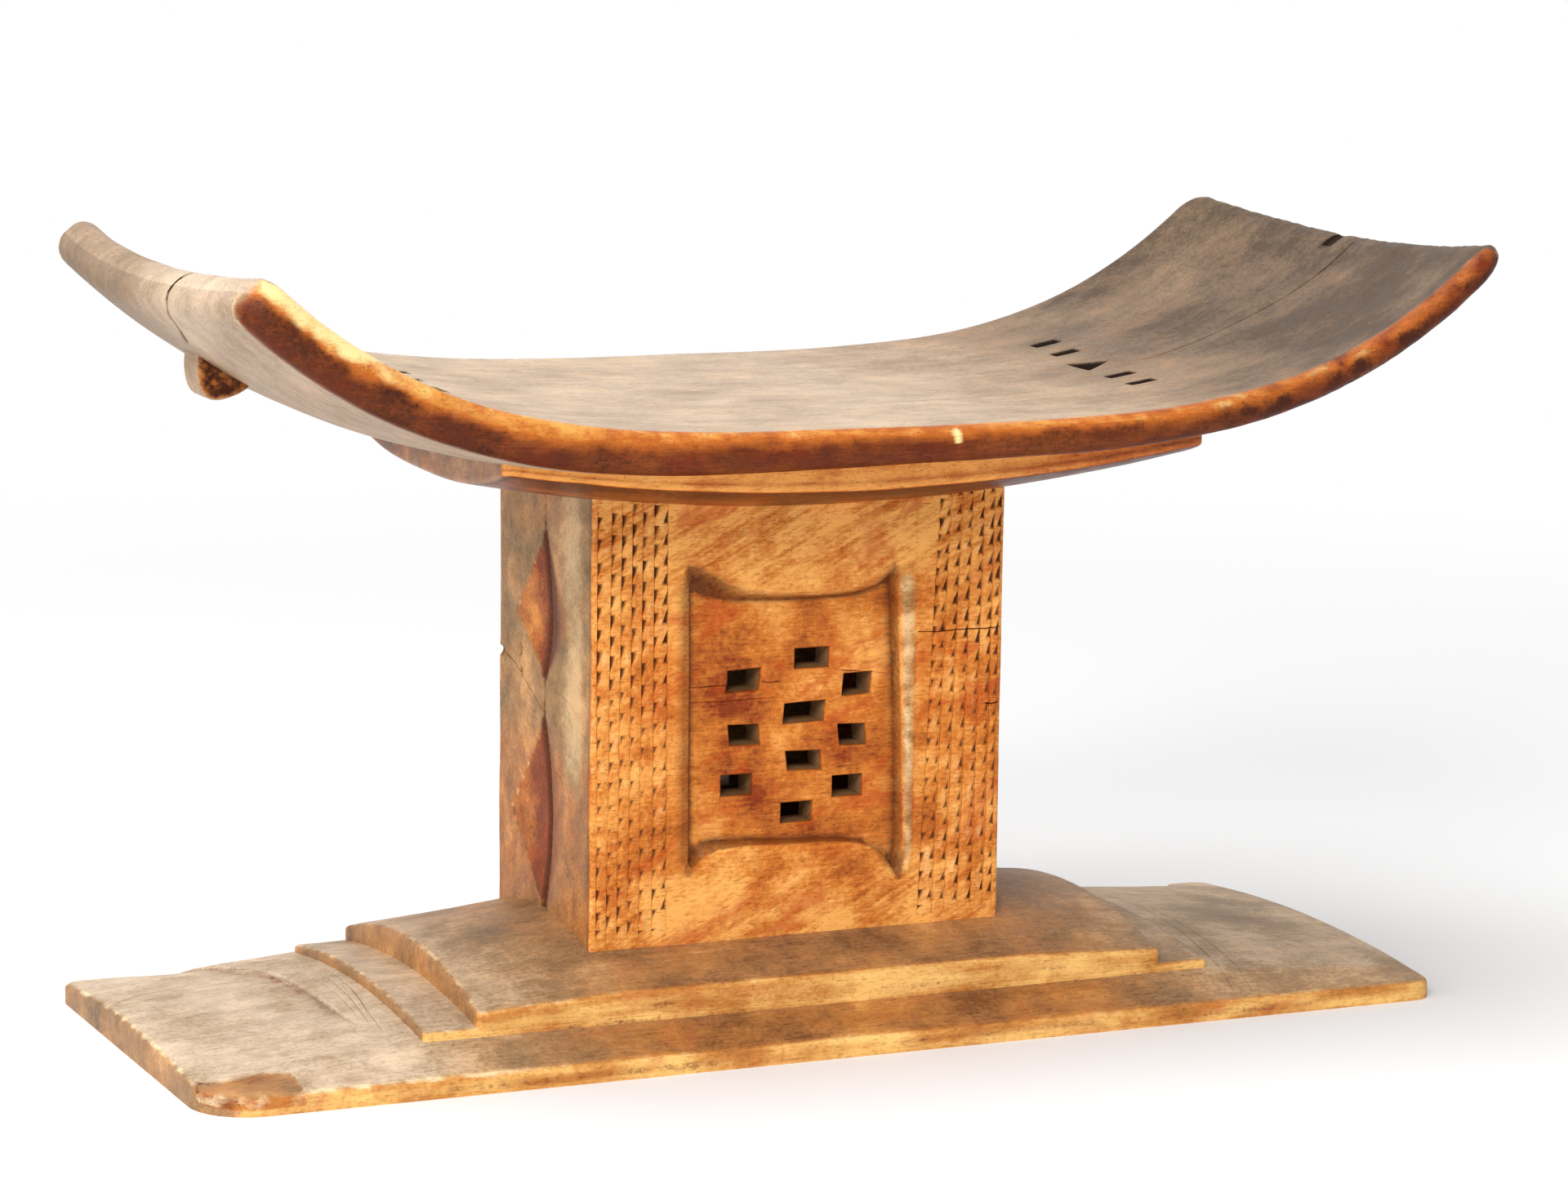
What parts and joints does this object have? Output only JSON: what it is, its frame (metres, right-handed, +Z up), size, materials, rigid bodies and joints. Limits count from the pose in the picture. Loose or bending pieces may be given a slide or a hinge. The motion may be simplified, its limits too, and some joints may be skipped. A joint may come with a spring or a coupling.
{
  "type": "carved stool",
  "caption": "Carved wooden stool: a dished seat with curled ends on a pierced hollow column and a stepped base.",
  "frame": {"origin": "on the floor, at the centre of the base plank's flat underside", "axes": "+X along the seat and the base, +Y to the back, +Z up"},
  "size_m": [0.5908, 0.2977, 0.35],
  "materials": {
    "seat_wood": "weathered grey-brown, worn golden along the edges",
    "shoulder_wood": "warm orange-brown, dull",
    "end_grain_wood": "dark end grain on a grey tab",
    "column_wood": "warm orange-brown with darker streaks, waxed by handling",
    "base_wood": "weathered grey-brown with orange worn edges"
  },
  "bodies": {
    "root": {"seat": "seat_wood", "seat_shoulder": "shoulder_wood", "end_lug": "end_grain_wood", "column_left_cheek": "column_wood", "column_right_cheek": "column_wood", "column_front_screen": "column_wood", "column_back_screen": "column_wood", "upper_step": "base_wood", "lower_step": "base_wood", "base_plank": "base_wood"}
  },
  "joints": []
}
